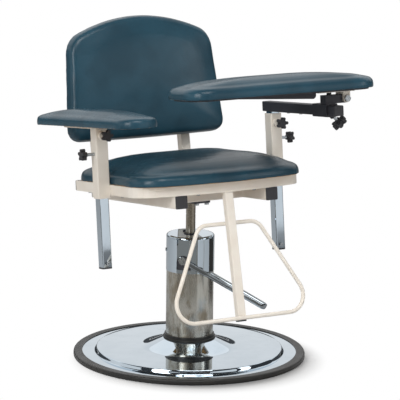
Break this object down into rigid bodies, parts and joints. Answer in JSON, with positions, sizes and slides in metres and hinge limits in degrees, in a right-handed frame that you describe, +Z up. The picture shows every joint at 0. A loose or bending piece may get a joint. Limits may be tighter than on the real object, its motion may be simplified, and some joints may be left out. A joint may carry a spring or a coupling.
{
  "type": "phlebotomy chair",
  "caption": "Padded blood-draw chair on a round pump base, with a plain armrest, a sliding flip-up armrest across the lap and a loop footrest.",
  "frame": {"origin": "on the floor, on the axis of the pump, at the middle of the base's underside", "axes": "+Z up, -Y the way the sitter faces, +X towards the side with the flip-up armrest; the seat, back and armrests are tilted back by 7 degrees about X"},
  "size_m": [0.681, 0.6635, 0.8287],
  "materials": {
    "vinyl": "upholstery vinyl, satin, fine grain",
    "frame_paint": "cream powder coat, satin",
    "chrome": "polished",
    "satin_steel": "satin, turned",
    "zinc": "zinc plated",
    "black_paint": "black, satin",
    "black_plastic": "moulded, matte",
    "rubber": "matte",
    "plywood": "raw plywood"
  },
  "bodies": {
    "base": {"base_plate": "satin_steel", "base_cover": "chrome", "rubber_edge": "rubber", "pump_bolts": "zinc", "pump_cylinder": "satin_steel", "ram_barrel": "satin_steel", "pump_foot_collar": "rubber", "pump_head": "black_paint", "pump_shell": "chrome", "pump_shell_screws": "black_paint", "oil_plug": "black_paint", "ram_gland": "black_paint"},
    "lever": {"lever_axle": "satin_steel", "lever_hub": "satin_steel", "lever_pedal": "chrome"},
    "lift": {"ram": "chrome"},
    "seat": {"seat_plate": "black_paint", "seat_plate_bolts": "zinc", "front_crossmember": "frame_paint", "rear_crossmember": "frame_paint", "seat_rail_left": "frame_paint", "seat_rail_right": "frame_paint", "tube_caps": "black_plastic", "ring_tube": "frame_paint", "armrest_sleeve": "frame_paint", "flip_sleeve": "frame_paint", "upright_left": "frame_paint", "upright_right": "frame_paint", "seat_board": "plywood", "seat_pad": "vinyl", "seat_screws": "zinc", "back_board": "plywood", "back_pad": "vinyl", "back_screws": "zinc", "footrest_strut": "frame_paint", "footrest_loop": "frame_paint"},
    "plain_armrest": {"armrest_post": "chrome", "armrest_post_plug": "black_plastic", "armrest_channel": "frame_paint", "armrest_board": "plywood", "armrest_pad": "vinyl", "armrest_screws": "zinc"},
    "flip_armrest_post": {"flip_post": "chrome", "flip_post_plug": "black_plastic", "flip_bar": "black_paint", "flip_bar_caps": "black_plastic", "flip_bar_screws": "zinc"},
    "slider": {"flip_slider": "black_paint", "hinge_block": "black_paint", "hinge_bolt": "zinc"},
    "flip_armrest": {"hinge_bracket": "frame_paint", "flip_bumper": "rubber", "flip_brace": "black_paint", "flip_board": "black_paint", "flip_pad": "vinyl"},
    "armrest_front_knob": {"armrest_front_knob": "black_plastic"},
    "armrest_side_knob": {"armrest_side_knob": "black_plastic"},
    "flip_front_knob": {"flip_front_knob": "black_plastic"},
    "flip_side_knob": {"flip_side_knob": "black_plastic"},
    "slider_knob": {"slider_knob": "black_plastic"}
  },
  "joints": [
    {"name": "lever_press", "type": "hinge", "parent": "base", "child": "lever", "pos_m": [0, 0, 0.256], "axis": [0.7071, 0.7071, 0], "range_deg": [0, 17], "stiffness_Nm_per_rad": 3, "springref_deg": -20.05},
    {"name": "seat_lift", "type": "slide", "parent": "base", "child": "lift", "axis": [0, 0, 1], "range_m": [-0.06, 0.08]},
    {"name": "seat_swivel", "type": "hinge", "parent": "lift", "child": "seat", "pos_m": [0, 0, 0.4], "axis": [0, 0, 1], "continuous": true},
    {"name": "armrest_height", "type": "slide", "parent": "seat", "child": "plain_armrest", "axis": [0, 0.1219, 0.9925], "range_m": [-0.004, 0.145]},
    {"name": "flip_armrest_height", "type": "slide", "parent": "seat", "child": "flip_armrest_post", "axis": [0, 0.1219, 0.9925], "range_m": [-0.004, 0.145]},
    {"name": "slider_slide", "type": "slide", "parent": "flip_armrest_post", "child": "slider", "axis": [0, 0.9925, -0.1219], "range_m": [-0.026, 0.074]},
    {"name": "flip_armrest_flip", "type": "hinge", "parent": "slider", "child": "flip_armrest", "pos_m": [0.29, -0.24082, 0.6739], "axis": [0, 0.9925, -0.1219], "range_deg": [0, 95]},
    {"name": "armrest_front_knob_turn", "type": "hinge", "parent": "seat", "child": "armrest_front_knob", "pos_m": [-0.247, 0.02213, 0.5794], "axis": [0, -0.9925, 0.1219], "range_deg": [0, 360]},
    {"name": "armrest_side_knob_turn", "type": "hinge", "parent": "seat", "child": "armrest_side_knob", "pos_m": [-0.247, 0.01652, 0.53375], "axis": [-1, 0, 0], "range_deg": [0, 360]},
    {"name": "flip_front_knob_turn", "type": "hinge", "parent": "seat", "child": "flip_front_knob", "pos_m": [0.247, 0.0214, 0.57345], "axis": [0, -0.9925, 0.1219], "range_deg": [0, 360]},
    {"name": "flip_side_knob_turn", "type": "hinge", "parent": "seat", "child": "flip_side_knob", "pos_m": [0.247, 0.01652, 0.53375], "axis": [1, 0, 0], "range_deg": [0, 360]},
    {"name": "slider_knob_turn", "type": "hinge", "parent": "slider", "child": "slider_knob", "pos_m": [0.26055, -0.23925, 0.63331], "axis": [0.7071, -0.0862, -0.7018], "range_deg": [0, 360]}
  ]
}
